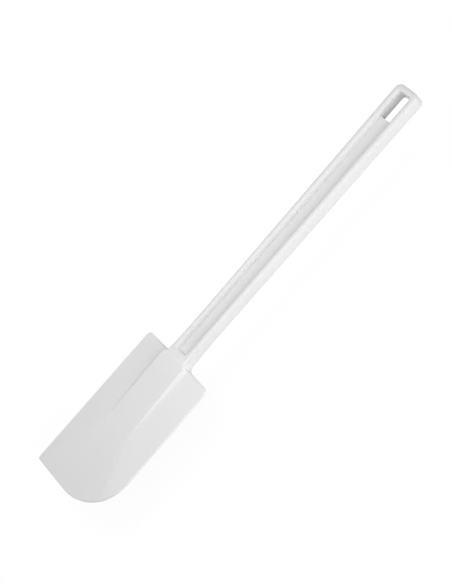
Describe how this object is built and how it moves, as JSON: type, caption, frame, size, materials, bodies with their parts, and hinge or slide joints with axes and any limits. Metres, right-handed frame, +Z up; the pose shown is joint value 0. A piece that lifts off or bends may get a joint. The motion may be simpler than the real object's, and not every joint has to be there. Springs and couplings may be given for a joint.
{
  "type": "rubber spatula",
  "caption": "Kitchen spatula with a flexible rubber blade that has a broad rounded corner, on a rigid plastic handle with sunk panels and a hanging slot.",
  "frame": {"origin": "on the surface the spatula lies on, under the middle of its length and width", "axes": "+Y along the handle towards its hanging slot, +Z up out of the face the spatula lies on, +X towards the side of the blade's big rounded corner"},
  "size_m": [0.0703, 0.355, 0.0116],
  "materials": {
    "handle_plastic": "satin",
    "blade_rubber": "matte"
  },
  "bodies": {
    "handle": {"handle": "handle_plastic"},
    "blade": {"blade": "blade_rubber"}
  },
  "joints": [
    {"name": "blade_flex", "type": "hinge", "parent": "handle", "child": "blade", "pos_m": [0, -0.0595, 0.0058], "axis": [1, 0, 0], "range_deg": [-15, 15], "stiffness_Nm_per_rad": 1.5, "deforming": ["blade"]}
  ]
}
